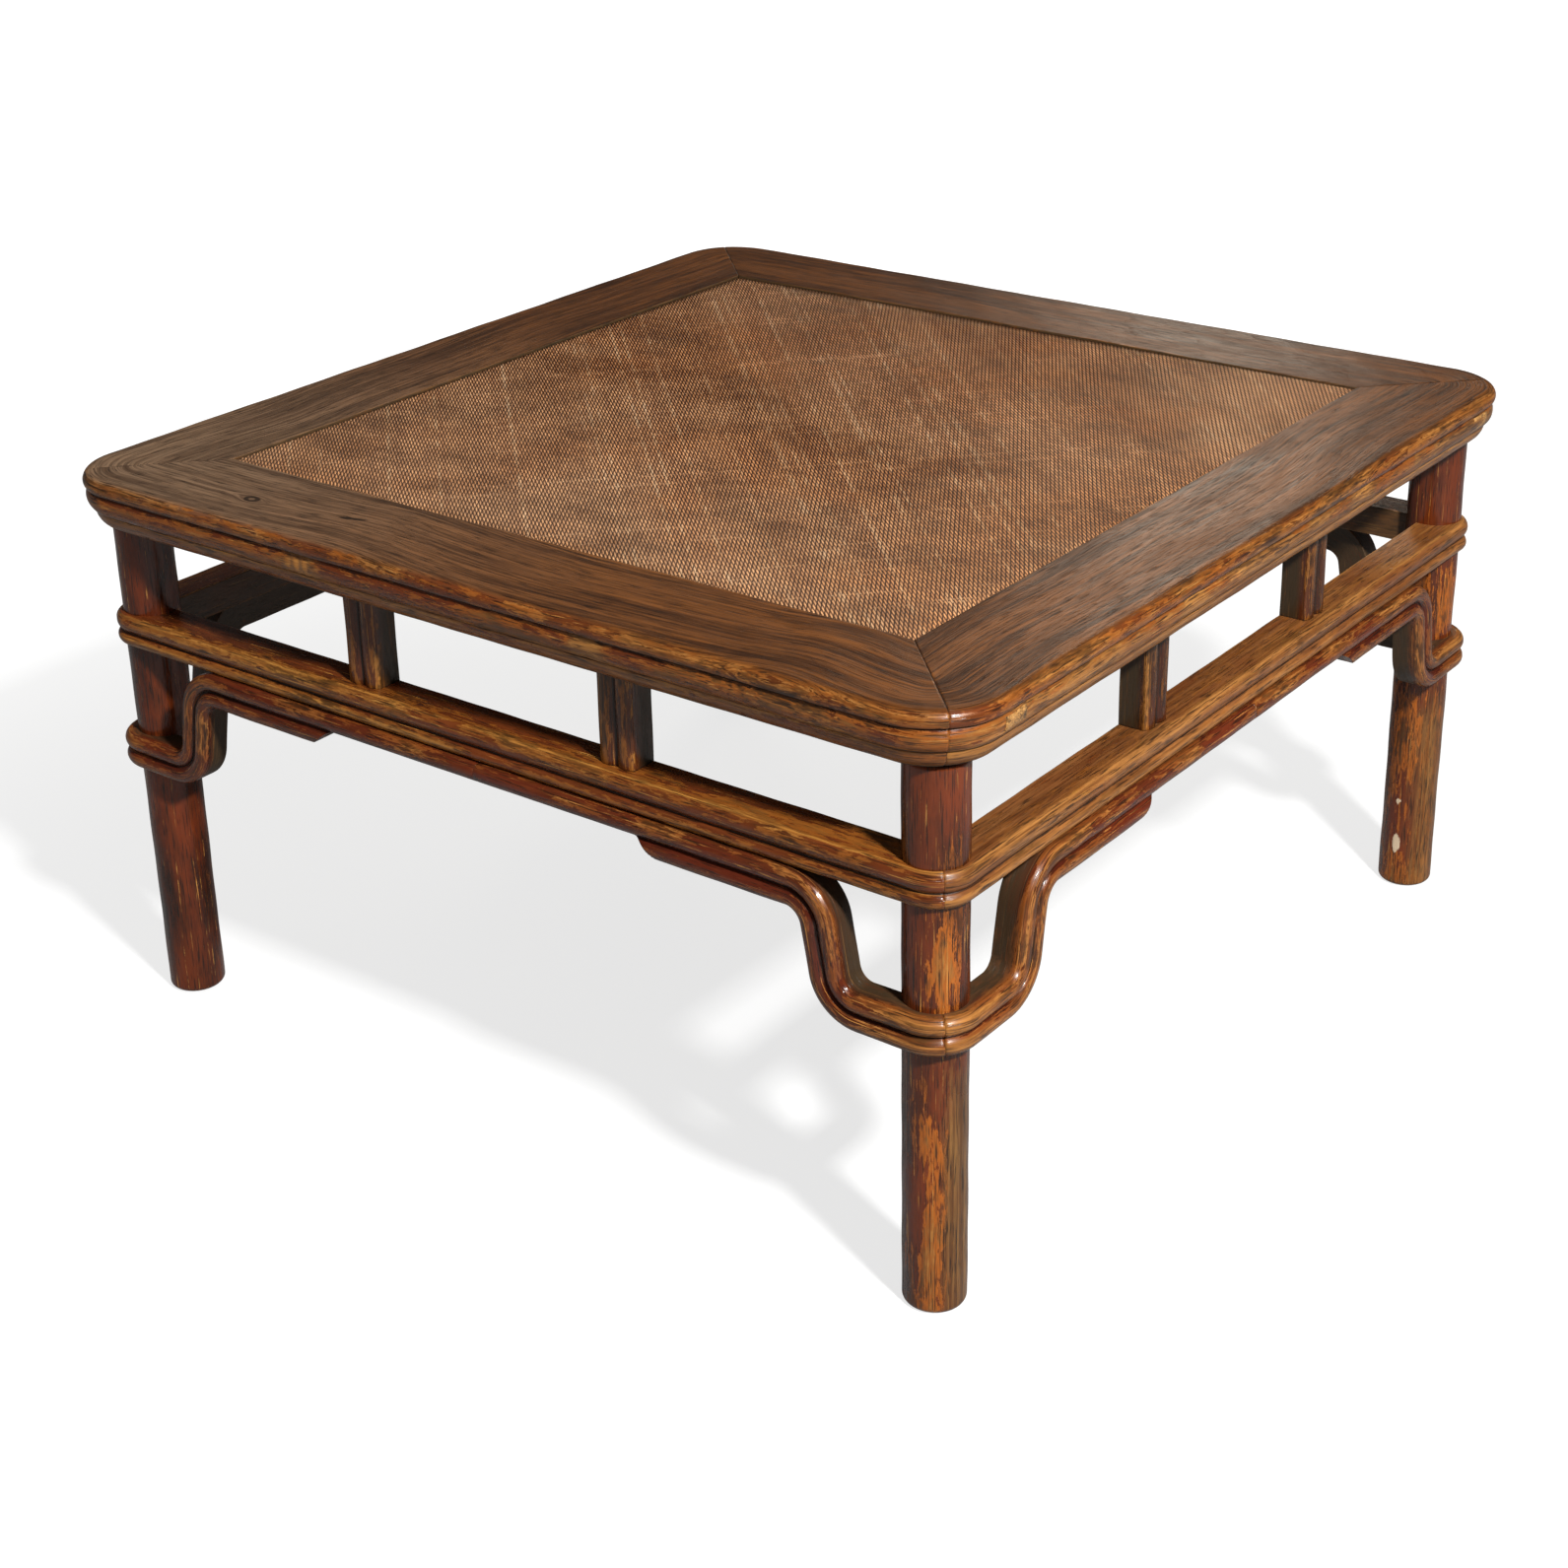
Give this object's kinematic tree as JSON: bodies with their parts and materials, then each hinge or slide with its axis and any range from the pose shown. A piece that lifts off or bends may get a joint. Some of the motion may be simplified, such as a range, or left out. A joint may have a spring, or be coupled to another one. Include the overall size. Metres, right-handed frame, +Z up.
{
  "type": "coffee table",
  "caption": "Square low table with round legs, a mitred moulded top frame round a woven cane panel, wrap-around stretchers, humped lower stretchers and short struts",
  "frame": {"origin": "on the floor under the middle of the table", "axes": "+Z up, -Y the front face (left in the picture), +X the right face"},
  "size_m": [0.84, 0.84, 0.46],
  "materials": {
    "rail_wood": "weathered, worn satin",
    "strip_wood": "worn lacquer, satin",
    "leg_wood": "worn lacquer, satin",
    "stretcher_wood": "worn lacquer, satin",
    "strut_wood": "worn lacquer, satin",
    "inner_wood": "bare, unfinished",
    "cane": "woven cane, dull sheen"
  },
  "bodies": {
    "root": {"brace_left": "inner_wood", "brace_right": "inner_wood", "cane_mat": "cane", "edge_strip_back": "strip_wood", "edge_strip_front": "strip_wood", "edge_strip_left": "strip_wood", "edge_strip_right": "strip_wood", "hump_back_left": "stretcher_wood", "hump_back_right": "stretcher_wood", "hump_front_left": "stretcher_wood", "hump_front_right": "stretcher_wood", "hump_left_left": "stretcher_wood", "hump_left_right": "stretcher_wood", "hump_right_left": "stretcher_wood", "hump_right_right": "stretcher_wood", "leg_back_left": "leg_wood", "leg_back_right": "leg_wood", "leg_front_left": "leg_wood", "leg_front_right": "leg_wood", "loose_tenons": "inner_wood", "panel_plank_1": "inner_wood", "panel_plank_2": "inner_wood", "panel_plank_3": "inner_wood", "stretcher_back": "stretcher_wood", "stretcher_front": "stretcher_wood", "stretcher_left": "stretcher_wood", "stretcher_right": "stretcher_wood", "strut_back_left": "strut_wood", "strut_back_right": "strut_wood", "strut_front_left": "strut_wood", "strut_front_right": "strut_wood", "strut_left_left": "strut_wood", "strut_left_right": "strut_wood", "strut_right_left": "strut_wood", "strut_right_right": "strut_wood", "top_rail_back": "rail_wood", "top_rail_front": "rail_wood", "top_rail_left": "rail_wood", "top_rail_right": "rail_wood"}
  },
  "joints": []
}
